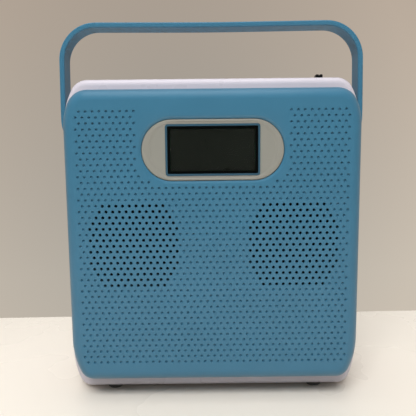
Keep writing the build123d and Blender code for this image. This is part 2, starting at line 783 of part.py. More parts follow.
def battery_door():
    """Cover with a finger dish and two hooks along its lower edge."""
    half = tray_half - 0.4
    door = block(-half, half, back_y - rear_wall + 0.2, back_y, tray_low + 0.4, tray_high - 0.4)
    door -= panel(0, tray_high - 9, 22, 9, 4, back_y - 1, back_y + 1)
    for x in (-50, 50):
        door += block(x - 6, x + 6, back_y - 5.5, back_y - 2, tray_high - 2.4, tray_high - 0.6)
        door += block(x - 6, x + 6, back_y - 5.5, back_y - 2, tray_low + 0.6, tray_low + 2.4)
    for step in range(-3, 4):
        x = 3 * step
        door -= block(x - 0.5, x + 0.5, back_y - 0.6, back_y + 1, tray_high - 24, tray_high - 16)
    return door


def transformer_core():
    """Laminated frame round the winding, on a flat foot with two ears."""
    left, right = transformer_x - 24, transformer_x + 24
    core = block(left, right, -12, 10, core_low, core_low + 40)
    core -= block(left + 8, right - 8, -13, 11, core_low + 8, core_low + 32)
    core += core_limb()
    foot = block(left - 8, right + 8, -10, 8, rear_low + rear_wall, core_low + 0.2)
    return core + foot - [upright(x, -1, 2, rear_low, core_low + 1) for x in (left - 4, right + 4)]


def core_limb():
    return block(transformer_x - core_leg, transformer_x + core_leg, -12, 10, core_low + 6, core_low + 34)


def transformer_winding():
    return panel(transformer_x, core_low + 20, 31.6, 23.6, 3, -19, 17) - core_limb()


def main_board():
    """Amplifier and tuner board: chips, capacitors and sockets for the leads."""
    board = block(-12, 80, main_board_front, main_board_back, 12, 66)
    face = main_board_front + 0.2
    chips = [(0, 20, 14, 14, 2.2), (24, 22, 20, 8, 3), (52, 16, 20, 6, 8), (30, 52, 30, 6, 9)]
    for left, low, width, height, rise in chips:
        board += block(left, left + width, face - rise, face, low, low + height)
    for x, z in ((-4, 44), (8, 46), (66, 34), (66, 48)):
        board += disc(x, z, 4, face - 12, face)
    return board


def power_inlet():
    """Two-pole mains inlet with its recess open at the back."""
    body = panel(inlet_x, inlet_z, 19.6, 11.6, 2, 34, back_y)
    body += panel(inlet_x, inlet_z, 23, 15, 2, back_y - rear_wall - 2, back_y - rear_wall)
    return body - stadium(inlet_x, inlet_z, 14.4, 8.0, 38, back_y + 1) - inlet_pins()


def inlet_pins():
    return [disc(inlet_x + dx, inlet_z, 1.15, 31, 47) for dx in (-4.3, 4.3)]


def jack_sockets():
    """Panel with a lip behind the wall, and two jack sockets bored for their plugs."""
    middle = (headphone_z + aux_z) / 2
    face = back_y - jack_panel_step
    inside = back_y - rear_wall
    body = panel(socket_x, middle, jack_panel_width, jack_panel_height, 2, inside - 1, face)
    body += panel(socket_x, middle, jack_panel_width + 4, jack_panel_height + 4, 3, inside - 1.6, inside)
    for z in (headphone_z, aux_z):
        body += block(socket_x - 6, socket_x + 6, 33.5, inside, z - 6, z + 6)
        body += disc(socket_x, z, 3.9, inside, back_y)
        body -= disc(socket_x, z, jack_radius, back_y - jack_depth, back_y + 1)
    return body


def feet():
    top = rear_low + foot_recess
    side = [(0, 0), (foot_radius - 0.8, 0), (foot_radius, 0.8), (foot_radius, top), (0, top)]
    return [turned_upright(x, y, side) for x, y in corners(foot_x, foot_front, foot_back)]


def cabinet_screws():
    head = post_meet + 4
    points = [(0, head + 2.2), (2.4, head + 2.2), (3.1, head + 1.2), (3.1, head), (1.5, head),
              (1.5, head - 14), (0, head - 14)]
    return [turned(x, z, points) for x, z in corners(post_x, post_low, post_high)]


def main():
    os.makedirs("parts", exist_ok=True)
    pieces = {
        "front_cabinet": front_cabinet(),
        "display_bezel": display_bezel(),
        "window_frame": window_frame(),
        "display_window": display_window(),
        "lcd_panel": lcd_panel(),
        "display_board": display_board(),
        "speaker_screws": speaker_screws(),
        "rear_cabinet": rear_cabinet(),
        "handle": handle(),
        "handle_washers": handle_washers(),
        "handle_screws": handle_screws(),
        "cd_door": cd_door(),
        "cd_door_pins": cd_door_pins(),
        "door_latch_button": door_latch_button(),
        "cd_well": cd_well(),
        "deck_chassis": deck_chassis(),
        "guide_rods": guide_rods(),
        "deck_dampers": deck_dampers(),
        "deck_screws": deck_screws(),
        "spindle_motor": spindle_motor(),
        "turntable_hub": turntable_hub(),
        "pickup_sled": pickup_sled(),
        "pickup_lens": pickup_lens(),
        "feed_gear": feed_gear(),
        "feed_pinion": feed_pinion(),
        "sled_motor": sled_motor(),
        "function_switch_knob": function_switch_knob(),
        "key_board": key_board(),
        "aerial_base": aerial_base(),
        "aerial_rivet": aerial_rivet(),
        "aerial_elbow": aerial_elbow(),
        "aerial_outer_tube": tube(3.0, 2.65, tube_start, tube_end),
        "aerial_middle_tube": tube(2.6, 2.05, tube_start + 2, tube_end + 2),
        "aerial_inner_rod": crosswise(aerial_y, aerial_z, 2.0, tube_start + 4, tube_end + 4),
        "aerial_tip": aerial_tip(),
        "battery_tray": battery_tray(),
        "battery_contacts": battery_contacts(),
        "battery_door": battery_door(),
        "transformer_core": transformer_core(),
        "transformer_winding": transformer_winding(),
        "main_board": main_board(),
        "power_inlet": power_inlet(),
        "inlet_pins": inlet_pins(),
        "jack_sockets": jack_sockets(),
        "feet": feet(),
        "cabinet_screws": cabinet_screws(),
    }
    for side, x in (("left", -speaker_x), ("right", speaker_x)):
        pieces[side + "_speaker_basket"] = speaker_basket(x)
        pieces[side + "_speaker_cone"] = speaker_cone(x)
        pieces[side + "_speaker_magnet"] = speaker_magnet(x)
    for y, row in key_rows.items():
        for name, x in row.items():
            pieces[name] = key(x, y)
    for name, piece in pieces.items():
        solids = piece if isinstance(piece, list) else [piece]
        solids = [solid for part in solids for solid in part.solids()]
        export_step(Compound(children=solids), f"parts/{name}.step")
    print(len(pieces), "nodes")


main()
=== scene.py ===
import json
from math import cos, pi, radians, sin, sqrt

import bmesh
import bpy
from bpy.props import FloatProperty, FloatVectorProperty, IntProperty, PointerProperty
from bpy.types import Operator, Panel, PropertyGroup
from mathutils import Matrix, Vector
from mathutils.geometry import delaunay_2d_cdt


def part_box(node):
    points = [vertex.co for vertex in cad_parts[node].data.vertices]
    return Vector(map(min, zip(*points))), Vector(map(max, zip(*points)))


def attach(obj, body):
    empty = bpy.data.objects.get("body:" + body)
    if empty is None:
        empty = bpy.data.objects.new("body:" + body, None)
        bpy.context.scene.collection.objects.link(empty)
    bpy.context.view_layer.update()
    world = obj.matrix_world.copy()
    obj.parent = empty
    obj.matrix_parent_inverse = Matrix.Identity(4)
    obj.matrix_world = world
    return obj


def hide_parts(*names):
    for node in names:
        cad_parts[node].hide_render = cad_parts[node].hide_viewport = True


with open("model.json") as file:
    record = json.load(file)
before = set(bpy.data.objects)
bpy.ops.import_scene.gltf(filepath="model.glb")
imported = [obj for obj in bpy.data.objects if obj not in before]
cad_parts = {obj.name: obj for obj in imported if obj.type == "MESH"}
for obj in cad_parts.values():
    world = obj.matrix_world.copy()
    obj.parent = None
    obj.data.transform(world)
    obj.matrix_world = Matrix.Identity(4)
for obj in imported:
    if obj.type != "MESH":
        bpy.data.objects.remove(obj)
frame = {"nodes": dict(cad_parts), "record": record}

bl_info = {
    "name": "Portable disc radio",
    "version": (1, 0, 0),
    "blender": (4, 5, 0),
    "location": "View3D > Sidebar > Radio",
    "description": "Visible pieces, finishes and stage of a portable radio with a disc player",
    "category": "Object",
}

mm = 0.001
front_low, front_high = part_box("front_cabinet")
surround_low, surround_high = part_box("display_bezel")
window_low, window_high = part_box("window_frame")


def size(name, description, default, **rest):
    """A length that a user may change, shown in the scene's units."""
    return FloatProperty(name=name, description=description, default=default, unit="LENGTH",
                         subtype="DISTANCE", precision=5, min=0.0, **rest)


def tint(name, description, default):
    """A colour as it looks on screen, from 0 to 1."""
    return FloatVectorProperty(name=name, description=description, default=default, size=3, min=0.0,
                               max=1.0, subtype="COLOR_GAMMA")


def share(name, description, default):
    """A part of the whole, from 0 to 1."""
    return FloatProperty(name=name, description=description, default=default, min=0.0, max=1.0,
                         subtype="FACTOR")


def turned(name, description, degrees):
    """An angle below a right angle, its default given in degrees."""
    return FloatProperty(name=name, description=description, default=radians(degrees), min=0.0,
                         max=radians(89.0), subtype="ANGLE")


class RadioFinishes(PropertyGroup):
    """Colours and gloss of the radio's materials."""
    blue: tint("Blue plastic", "Front moulding, handle and window frame", (0.222, 0.428, 0.535))
    white: tint("White plastic", "Rear moulding, door, covers and keys", (0.775, 0.755, 0.792))
    # The surround is satin white plastic; the grey of this tone is painted shade of the front face.
    surround: tint("Display surround", "Shaded satin white round the display", (0.530, 0.528, 0.500))
    black: tint("Black plastic", "Disc well, knob, sockets and battery tray", (0.090, 0.090, 0.095))
    board: tint("Circuit board", "Solder mask of the boards", (0.06, 0.33, 0.17))
    screen: tint("Screen", "Liquid crystal panel when it is off", (0.085, 0.100, 0.082))
    blue_gloss: share("Blue roughness", "Roughness of the blue plastic", 0.36)
    white_gloss: share("White roughness", "Roughness of the white plastic", 0.30)


class FaceSizes(PropertyGroup):
    """Shape of the front moulding and its pattern of dots."""
    top_tight: size("Top corner, tight", "Radius where the corner leaves the top edge", 16.0 * mm)
    top_wide: size("Top corner, wide", "Radius where the corner runs into the side", 45.0 * mm)
    top_turn: turned("Top corner, turn", "Angle that the wide arc covers", 24.0)
    low_tight: size("Bottom corner, tight", "Radius where the corner leaves the bottom edge",
                    12.0 * mm)
    low_wide: size("Bottom corner, wide", "Radius where the corner runs into the side", 60.0 * mm)
    low_turn: turned("Bottom corner, turn", "Angle that the wide arc covers", 25.0)
    top_drop: size("Top edge, drop", "How far the top edge lies below the moulding's box", 0.6 * mm)
    edge: size("Edge depth", "How deep the round from the face into the sides goes", 10.0 * mm)
    edge_width: size("Edge width", "How wide that round is, seen from the front", 9.0 * mm)
    wall: size("Wall", "Thickness of the sides", 3.0 * mm)
    plate: size("Face thickness", "Thickness of the perforated face", 2.5 * mm)
    pitch: size("Dot pitch", "Distance between dots in a row", 5.0 * mm)
    pit_radius: size("Pit radius", "Radius of the blind dots", 1.02 * mm)
    pit_depth: size("Pit depth", "Depth of the blind dots", 1.15 * mm)
    hole_radius: size("Hole radius", "Radius of the dots pierced in front of a speaker", 1.15 * mm)
    flare: FloatProperty(name="Hole flare", description="How much wider a hole is at its back",
                         default=1.15, min=1.0, max=1.5)
    dot_sides: IntProperty(name="Dot sides", description="Points round each dot", default=12,
                           min=6, max=32)
    bevel: size("Display bevel", "Width of the slope round the display", 2.0 * mm)


class SurroundSizes(PropertyGroup):
    """Shape of the display surround."""
    rim_round: size("Rim round", "Round along the outer edge", 0.9 * mm)
    rim_width: size("Rim width", "Flat rim along the top and bottom", 2.0 * mm)
    dish_width: size("Rim at the ends", "Flat rim at the round ends", 7.0 * mm)
    dish_depth: size("Dish depth", "How far the middle lies below the rim", 0.45 * mm)


class KnobSizes(PropertyGroup):
    """Shape of the slide knob."""
    width: size("Width", "Along the slot", 5.5 * mm)
    depth: size("Depth", "Across the slot", 5.0 * mm)
    height: size("Height", "Above its slot", 4.4 * mm)
    groove: size("Groove", "Width of the groove across the top", 1.2 * mm)


class StageSettings(PropertyGroup):
    """Floor, backdrop, lamps and camera."""
    floor: tint("Floor", "Colour of the table", (0.955, 0.925, 0.880))
    table_front: size("Table front", "How far the table reaches forward, as gloss shows it", 0.95)
    wall: tint("Backdrop", "Colour of the wall low down", (0.775, 0.735, 0.680))
    # Painted light: the wall's tone high up is shade, and its tone behind the radio a painted
    # shadow.
    wall_top: tint("Backdrop, high up", "Colour of the wall at the top of the picture",
                   (0.712, 0.655, 0.597))
    wall_painted_shadow: tint("Backdrop, behind the radio", "Tone that the wall takes behind the radio",
                     (0.88, 0.90, 0.92))
    room: tint("Room", "Tone of the room in front, as gloss and glass show it",
               (0.30, 0.32, 0.29))
    wall_gap: size("Backdrop distance", "From the middle of the radio to the wall", 154.0 * mm)
    wall_slant: FloatProperty(name="Backdrop slant", default=0.02,
                              description="How far the wall recedes to the right, per length")
    sky: FloatProperty(name="Ambient light", description="Strength of the even light",
                       default=0.32, min=0.0)
    lamp: FloatProperty(name="Overhead lamp", description="Power of the soft lamp above",
                        default=7.3, min=0.0, unit="POWER")
    fill: FloatProperty(name="Fill lamp", description="Power of the soft lamp in front",
                        default=17.4, min=0.0, unit="POWER")
    eye: FloatVectorProperty(name="Camera place", description="Where the camera stands", size=3,
                             subtype="TRANSLATION", unit="LENGTH",
                             default=(-4.5 * mm, -386.7 * mm, 192.2 * mm))
    turn: FloatVectorProperty(name="Camera turn", description="Rotation of the camera", size=3,
                              subtype="EULER",
                              default=(radians(83.639), radians(0.608), radians(-0.155)))
    lens: FloatProperty(name="Focal length", description="In millimetres, on a 36 mm sensor",
                        default=39.17)


def linear(colour):
    """Screen colour to the linear one that shaders take."""
    return tuple(c / 12.92 if c <= 0.04045 else ((c + 0.055) / 1.055) ** 2.4 for c in colour)


def paint(colour):
    """Screen colour as the four numbers that a socket takes."""
    return (*linear(colour), 1.0)


# Shader nodes and groups

def new_group(name, inputs, outputs):
    """Empty shader group with named sockets. Inputs are (name, kind, default), and outputs are
    (name, kind)."""
    tree = bpy.data.node_groups.new(name, "ShaderNodeTree")
    for label, kind, default in inputs:
        socket = tree.interface.new_socket(label, in_out="INPUT", socket_type=kind)
        socket.default_value = default
    for label, kind in outputs:
        tree.interface.new_socket(label, in_out="OUTPUT", socket_type=kind)
    return tree, tree.nodes.new("NodeGroupInput").outputs, tree.nodes.new("NodeGroupOutput").inputs


def add(tree, kind, links=(), **settings):
    """New node with its settings and sockets filled: links are (input, value or socket)."""
    node = tree.nodes.new(kind)
    for key, value in settings.items():
        setattr(node, key, value)
    for key, value in dict(links).items():
        if isinstance(value, bpy.types.NodeSocket):
            tree.links.new(value, node.inputs[key])
        else:
            node.inputs[key].default_value = value
    return node


def arithmetic(tree, operation, *values):
    """Result of one Math node on numbers and sockets."""
    return add(tree, "ShaderNodeMath", enumerate(values), operation=operation).outputs[0]


def blended(tree, factor, one, other, **settings):
    """Colour that runs from one to the other with the factor."""
    links = {"Fac": factor, "Color1": one, "Color2": other}
    return add(tree, "ShaderNodeMixRGB", links, **settings).outputs["Color"]


def brightened(tree, colour, value):
    """Colour with its brightness multiplied by a value."""
    links = {"Color": colour, "Value": value}
    return add(tree, "ShaderNodeHueSaturation", links).outputs["Color"]


def carried(tree, value, low, high, to_low=0.0, to_high=1.0):
    """Value carried from one range to another, and held inside it."""
    links = {"Value": value, "From Min": low, "From Max": high, "To Min": to_low, "To Max": to_high}
    return add(tree, "ShaderNodeMapRange", links).outputs["Result"]


def own_place(tree):
    """Place on the piece, in metres."""
    return add(tree, "ShaderNodeTexCoord").outputs["Object"]


def noise(tree, scale, detail, stretch=None):
    """Noise fixed to the piece, scale in features per metre, stretched along an axis if asked."""
    spot = own_place(tree)
    if stretch:
        spot = add(tree, "ShaderNodeMapping", {"Vector": spot, "Scale": stretch}).outputs["Vector"]
    links = {"Vector": spot, "Scale": scale, "Detail": detail}
    return add(tree, "ShaderNodeTexNoise", links).outputs["Fac"]


def spread(tree, value, low, high):
    """Noise value carried to the range low to high."""
    noise_low, noise_high = 0.3, 0.7
    return carried(tree, value, noise_low, noise_high, low, high)


def moulded_group():
    """Moulded plastic: faint cloudiness, uneven gloss, fine grain and softened edges."""
    tree, given, out = new_group("Moulded plastic", [
        ("Colour", "NodeSocketColor", (0.8, 0.8, 0.8, 1.0)),
        ("Cloudiness", "NodeSocketFloat", 0.04),
        ("Roughness", "NodeSocketFloat", 0.35),
        ("Unevenness", "NodeSocketFloat", 0.06),
        ("Grain", "NodeSocketFloat", 0.05),
        ("Edge", "NodeSocketFloat", 0.25 * mm),
    ], [("Colour", "NodeSocketColor"), ("Roughness", "NodeSocketFloat"),
        ("Normal", "NodeSocketVector")])
    cloud = spread(tree, noise(tree, 22.0, 3.0), -0.5, 0.5)
    shade = arithmetic(tree, "MULTIPLY_ADD", cloud, given["Cloudiness"], 1.0)
    tree.links.new(brightened(tree, given["Colour"], shade), out["Colour"])
    patch = spread(tree, noise(tree, 60.0, 2.0), -0.5, 0.5)
    rough = arithmetic(tree, "MULTIPLY_ADD", patch, given["Unevenness"], given["Roughness"])
    tree.links.new(rough, out["Roughness"])
    soft = add(tree, "ShaderNodeBevel", {"Radius": given["Edge"]}, samples=4)
    bump = add(tree, "ShaderNodeBump", {
        "Height": noise(tree, 2600.0, 1.0), "Strength": given["Grain"], "Distance": 0.06 * mm,
        "Normal": soft.outputs["Normal"]})
    tree.links.new(bump.outputs["Normal"], out["Normal"])
    return tree


def dust_group():
    """Fine dust that settles on what faces up, in patches."""
    tree, given, out = new_group("Settled dust", [
        ("Colour", "NodeSocketColor", (0.8, 0.8, 0.8, 1.0)),
        ("Dust", "NodeSocketColor", (0.6, 0.58, 0.54, 1.0)),
        ("Roughness", "NodeSocketFloat", 0.35),
        ("Amount", "NodeSocketFloat", 0.1),
    ], [("Colour", "NodeSocketColor"), ("Roughness", "NodeSocketFloat")])
    normal = add(tree, "ShaderNodeNewGeometry").outputs["Normal"]
    height = add(tree, "ShaderNodeSeparateXYZ", {"Vector": normal}).outputs["Z"]
    up = carried(tree, height, 0.55, 0.98)
    specks = spread(tree, noise(tree, 900.0, 3.0), 0.0, 1.0)
    patches = spread(tree, noise(tree, 30.0, 2.0), 0.3, 1.0)
    lying = arithmetic(tree, "MULTIPLY", specks, patches)
    lying = arithmetic(tree, "MULTIPLY", lying, up)
    lying = arithmetic(tree, "MULTIPLY", lying, given["Amount"])
    tree.links.new(blended(tree, lying, given["Colour"], given["Dust"]), out["Colour"])
    dull = arithmetic(tree, "MULTIPLY_ADD", lying, 0.5, given["Roughness"])
    tree.links.new(dull, out["Roughness"])
    return tree


def metal_group():
    """Drawn or rolled metal: streaks in the gloss and a faint stain in the colour."""
    tree, given, out = new_group("Worked metal", [
        ("Colour", "NodeSocketColor", (0.6, 0.6, 0.6, 1.0)),
        ("Stain", "NodeSocketFloat", 0.12),
        ("Roughness", "NodeSocketFloat", 0.3),
        ("Streaks", "NodeSocketFloat", 0.12),
    ], [("Colour", "NodeSocketColor"), ("Roughness", "NodeSocketFloat"),
        ("Height", "NodeSocketFloat")])
    stain = spread(tree, noise(tree, 80.0, 3.0), -0.5, 0.5)
    shade = arithmetic(tree, "MULTIPLY_ADD", stain, given["Stain"], 1.0)
    tree.links.new(brightened(tree, given["Colour"], shade), out["Colour"])
    lines = noise(tree, 260.0, 3.0, stretch=(0.15, 9.0, 9.0))
    streaks = spread(tree, lines, -0.5, 0.5)
    rough = arithmetic(tree, "MULTIPLY_ADD", streaks, given["Streaks"], given["Roughness"])
    tree.links.new(rough, out["Roughness"])
    tree.links.new(lines, out["Height"])
    return tree


groups = {}


def use(tree, name, links):
    """A shader group placed in a material with this material's values; the group is built once."""
    makers = {"moulded": moulded_group, "dust": dust_group, "metal": metal_group}
    if name not in groups:
        groups[name] = makers[name]()
    return add(tree, "ShaderNodeGroup", links, node_tree=groups[name]).outputs


# Materials

def new_material(name, **constants):
    """Material with one Principled shader, whose even values are set on its own sockets."""
    material = bpy.data.materials.new(name)
    material.use_nodes = True
    tree = material.node_tree
    shader = tree.nodes["Principled BSDF"]
    for key, value in constants.items():
        shader.inputs[key.replace("_", " ")].default_value = value
    return material, tree, shader.inputs


def emboss(tree, surface, height, strength, distance):
    """Bump over the whole surface, with the height of its relief."""
    links = {"Height": height, "Strength": strength, "Distance": distance}
    bump = add(tree, "ShaderNodeBump", links)
    tree.links.new(bump.outputs["Normal"], surface["Normal"])


def two_tones(tree, value, low, high):
    """Colour that runs from low to high with a value from 0 to 1."""
    tone = add(tree, "ShaderNodeValToRGB", {"Fac": value})
    tone.color_ramp.elements[0].color = paint(low)
    tone.color_ramp.elements[1].color = paint(high)
    return tone.outputs["Color"]


def plastic(name, colour, roughness, cloudiness=0.04, grain=0.05, dust=0.1, edge=0.25 * mm,
            **constants):
    """Moulded plastic, rubber or ferrite, with a little dust."""
    material, tree, surface = new_material(name, **constants)
    moulded = use(tree, "moulded", {
        "Colour": paint(colour), "Roughness": roughness, "Cloudiness": cloudiness, "Grain": grain,
        "Edge": edge})
    dusty = use(tree, "dust", {
        "Colour": moulded["Colour"], "Roughness": moulded["Roughness"], "Amount": dust})
    tree.links.new(dusty["Colour"], surface["Base Color"])
    tree.links.new(dusty["Roughness"], surface["Roughness"])
    tree.links.new(moulded["Normal"], surface["Normal"])
    return material


def metal(name, colour, roughness, stain=0.12, streaks=0.12, relief=0.05, **constants):
    """Bare or plated metal."""
    material, tree, surface = new_material(name, Metallic=1.0, **constants)
    worked = use(tree, "metal", {
        "Colour": paint(colour), "Roughness": roughness, "Stain": stain, "Streaks": streaks})
    tree.links.new(worked["Colour"], surface["Base Color"])
    tree.links.new(worked["Roughness"], surface["Roughness"])
    emboss(tree, surface, worked["Height"], relief, 0.03 * mm)
    return material


def circuit_board(colour):
    """Solder mask over a maze of tracks, with tinned pads."""
    material, tree, surface = new_material("Circuit board", Roughness=0.35)
    cell = {"Vector": own_place(tree), "Scale": 260.0}
    second, first = [add(tree, "ShaderNodeTexVoronoi", cell, distance="MANHATTAN",
                         feature=feature).outputs["Distance"] for feature in ("F2", "F1")]
    gap = arithmetic(tree, "SUBTRACT", second, first)
    track = arithmetic(tree, "LESS_THAN", gap, 0.16)
    pad = arithmetic(tree, "LESS_THAN", first, 0.12)
    light = tuple(min(1.0, c * 1.45) for c in linear(colour))
    masked = blended(tree, track, paint(colour), (*light, 1.0))
    tinned = blended(tree, pad, masked, paint((0.78, 0.77, 0.72)))
    tree.links.new(tinned, surface["Base Color"])
    tree.links.new(pad, surface["Metallic"])
    emboss(tree, surface, track, 0.3, 0.05 * mm)
    return material


def paper():
    """Pressed paper of the speaker cones, with its fibres."""
    material, tree, surface = new_material("Speaker cone", Specular_IOR_Level=0.25)
    fibres = noise(tree, 1500.0, 4.0, stretch=(1.0, 0.3, 1.0))
    tone = two_tones(tree, fibres, (0.030, 0.030, 0.034), (0.080, 0.078, 0.076))
    tree.links.new(tone, surface["Base Color"])
    tree.links.new(spread(tree, fibres, 0.7, 0.95), surface["Roughness"])
    emboss(tree, surface, fibres, 0.4, 0.1 * mm)
    return material


def winding_tape():
    """Yellow polyester tape, its turns lying side by side."""
    material, tree, surface = new_material("Coil tape", Roughness=0.3)
    links = {"Vector": own_place(tree), "Scale": 40.0, "Distortion": 0.4, "Detail": 1.0}
    bands = add(tree, "ShaderNodeTexWave", links, bands_direction="Y").outputs["Fac"]
    tone = two_tones(tree, bands, (0.62, 0.48, 0.10), (0.86, 0.72, 0.24))
    tree.links.new(tone, surface["Base Color"])
    emboss(tree, surface, bands, 0.4, 0.1 * mm)
    return material


def clear(name, colour, roughness, ior):
    """Clear moulding with fine wipe marks in its gloss."""
    material, tree, surface = new_material(name, Transmission_Weight=1.0, IOR=ior,
                                           Base_Color=paint(colour))
    wipes = noise(tree, 120.0, 4.0, stretch=(1.0, 1.0, 6.0))
    tree.links.new(spread(tree, wipes, roughness * 0.5, roughness * 1.6), surface["Roughness"])
    return material


def screen(colour):
    """Liquid crystal panel that is off: dark, faintly clouded glass."""
    material, tree, surface = new_material("Screen", Specular_IOR_Level=0.3)
    cloud = noise(tree, 60.0, 2.0)
    tone = two_tones(tree, cloud, colour, tuple(c * 1.25 for c in colour))
    tree.links.new(tone, surface["Base Color"])
    tree.links.new(spread(tree, cloud, 0.25, 0.4), surface["Roughness"])
    return material


finishes = {}


def make_finishes(look):
    """Every material of the radio, by the name of the slot that it belongs to."""
    finishes.update({
        "blue_plastic": plastic("Blue plastic", look.blue, look.blue_gloss, cloudiness=0.05,
                                dust=0.05, Specular_IOR_Level=0.45),
        "white_plastic": plastic("White plastic", look.white, look.white_gloss, cloudiness=0.03,
                                 grain=0.03),
        # The surround's grey tone is painted shade of the front face on satin white plastic.
        "surround": plastic("Shaded satin white", look.surround, 0.42, cloudiness=0.03, dust=0.05),
        "black_plastic": plastic("Black plastic", look.black, 0.48, cloudiness=0.12, grain=0.12),
        "knob": plastic("Knob black", (0.06, 0.06, 0.065), 0.35, cloudiness=0.1, grain=0.05,
                        dust=0.04),
        # The window frame's blue is the blue plastic darkened: painted shade in the display's
        # opening.
        "frame": plastic("Shaded frame blue", tuple(c * 0.72 for c in look.blue), 0.5, dust=0.05),
        "feet": plastic("Grey rubber", (0.30, 0.29, 0.28), 0.8, cloudiness=0.1, grain=0.4),
        "sign": plastic("Printed grey", (0.32, 0.34, 0.37), 0.5, cloudiness=0.05, edge=0.02 * mm),
        "lens_window": clear("Window", (0.93, 0.94, 0.93), 0.04, 1.49),
        "optic": clear("Lens", (0.66, 0.72, 0.90), 0.02, 1.55),
        "lcd_glass": screen(look.screen),
        "circuit_board": circuit_board(look.board),
        "speaker_cone": paper(),
        "ferrite": plastic("Ferrite", (0.20, 0.20, 0.21), 0.6, cloudiness=0.2, grain=0.4),
        "zinc_screw": metal("Zinc plate", (0.78, 0.77, 0.72), 0.34, stain=0.2),
        "steel": metal("Steel", (0.74, 0.75, 0.76), 0.36),
        "chrome_tube": metal("Chrome", (0.86, 0.86, 0.88), 0.10, stain=0.03, streaks=0.05,
                             relief=0.01),
        "contact_metal": metal("Nickel", (0.80, 0.79, 0.75), 0.28),
        "rubber_black": plastic("Rubber", (0.11, 0.11, 0.11), 0.8, cloudiness=0.15, grain=0.5),
        "coil_tape": winding_tape(),
    })


# Meshes

same_place = 1e-6


def apart(one, other):
    """How far two points of an outline are from each other, along the further axis."""
    return max(abs(one[0] - other[0]), abs(one[1] - other[1]))


def rounded(half_width, half_height, corner, middle, steps):
    """Points of a rectangle with round corners, anticlockwise."""
    points = []
    for turn, across, up in ((0, 1, 1), (90, -1, 1), (180, -1, -1), (270, 1, -1)):
        x = middle[0] + across * (half_width - corner)
        z = middle[1] + up * (half_height - corner)
        for step in range(steps + 1):
            angle = radians(turn + 90.0 * step / steps)
            points.append((x + corner * cos(angle), z + corner * sin(angle)))
    distinct = []
    for point in points:
        if not distinct or apart(point, distinct[-1]) > same_place:
            distinct.append(point)
    if apart(distinct[0], distinct[-1]) < same_place:
        distinct.pop()
    return distinct


def round_ended(half_width, half_height, middle, steps=16):
    """Points of a stadium, anticlockwise."""
    return rounded(half_width, half_height, half_height, middle, steps)


def corner_points(half, edge, up, corner, inset, steps=8):
    """Right-hand corner of a cabinet outline, from the side to the flat edge: a wide arc, then a
    tight one."""
    tight, wide, turn = corner
    wide_x = half - wide
    wide_z = edge - up * (wide * sin(turn) + tight * (1 - sin(turn)))
    tight_x = wide_x + (wide - tight) * cos(turn)
    tight_z = wide_z + up * (wide - tight) * sin(turn)
    wide_turns = [turn * k / steps for k in range(steps)]
    tight_turns = [turn + (pi / 2 - turn) * k / steps for k in range(steps + 1)]
    arcs = ((wide_x, wide_z, wide - inset, wide_turns),
            (tight_x, tight_z, tight - inset, tight_turns))
    return [(x + radius * cos(a), z + up * radius * sin(a))
            for x, z, radius, turns in arcs for a in turns]


def cabinet_line(half, low, high, top, bottom, inset):
    """Outline of the cabinet, or the line that runs inside it at a steady distance,
    anticlockwise."""
    upper = corner_points(half, high, 1, top, inset)
    lower = corner_points(half, low, -1, bottom, inset)
    mirrored = [(-x, z) for x, z in reversed(upper)] + [(-x, z) for x, z in lower]
    return upper + mirrored + lower[::-1]


def circle(x, z, radius, sides):
    """Points of a circle, anticlockwise."""
    turns = [2 * pi * k / sides for k in range(sides)]
    return [(x + radius * cos(a), z + radius * sin(a)) for a in turns]


class Shape:
    """Points and faces of one piece. An outline is drawn in a plane that faces the front or the
    top."""

    def __init__(self, facing="front"):
        self.facing = facing
        self.points = []
        self.faces = []

    def ring(self, outline, depth):
        """Points of an outline at a depth, as their numbers."""
        start = len(self.points)
        for across, up in outline:
            to_front = self.facing == "front"
            self.points.append((across, depth, up) if to_front else (across, up, depth))
        return list(range(start, len(self.points)))

    def skin(self, *rings):
        """Bands of quads from ring to ring."""
        for near, far in zip(rings, rings[1:]):
            for k in range(len(near)):
                after = (k + 1) % len(near)
                self.faces.append((near[k], near[after], far[after], far[k]))

    def cap(self, ring):
        """One face inside a ring."""
        self.faces.append(tuple(ring))

    def dome(self, ring, tip):
        """Triangles from a ring to one point."""
        self.points.append(tip)
        end = len(self.points) - 1
        self.faces += [(ring[k], ring[(k + 1) % len(ring)], end) for k in range(len(ring))]

    def sheet(self, outer, openings):
        """Flat skin inside one ring and round the rings of its openings."""
        flat, edges, numbers, owner = [], [], [], {}
        up = 2 if self.facing == "front" else 1
        for index, ring in enumerate([outer] + openings):
            start = len(flat)
            flat += [Vector((self.points[n][0] / mm, self.points[n][up] / mm)) for n in ring]
            edges += [(start + k, start + (k + 1) % len(ring)) for k in range(len(ring))]
            numbers += ring
            owner.update((start + k, index) for k in range(len(ring)))
        inside_only, tolerance = 1, 1e-5
        filled = delaunay_2d_cdt(flat, edges, [], inside_only, tolerance)
        triangles, origin = filled[2], filled[3]
        for triangle in triangles:
            source = [origin[n][0] for n in triangle]
            rings = {owner[n] for n in source}
            if len(rings) > 1 or rings == {0}:
                self.faces.append(tuple(numbers[n] for n in source))

    def boss(self, x, z, radius, bore, root, end, deep):
        """Round post along Y with a blind hole for its screw and a softened rim."""
        soft, sides = 0.3 * mm, 24
        steps = [(radius, root), (radius, end - soft), (radius - soft, end), (bore + soft, end),
                 (bore, end - soft), (bore, end - deep)]
        rings = [self.ring(circle(x, z, wide, sides), depth) for wide, depth in steps]
        self.cap(rings[0])
        self.skin(*rings)
        self.cap(rings[-1])

    def prism(self, outline, low, high):
        """Closed straight-sided solid over an outline."""
        bottom, top = self.ring(outline, low), self.ring(outline, high)
        self.skin(bottom, top)
        self.cap(bottom)
        self.cap(top)


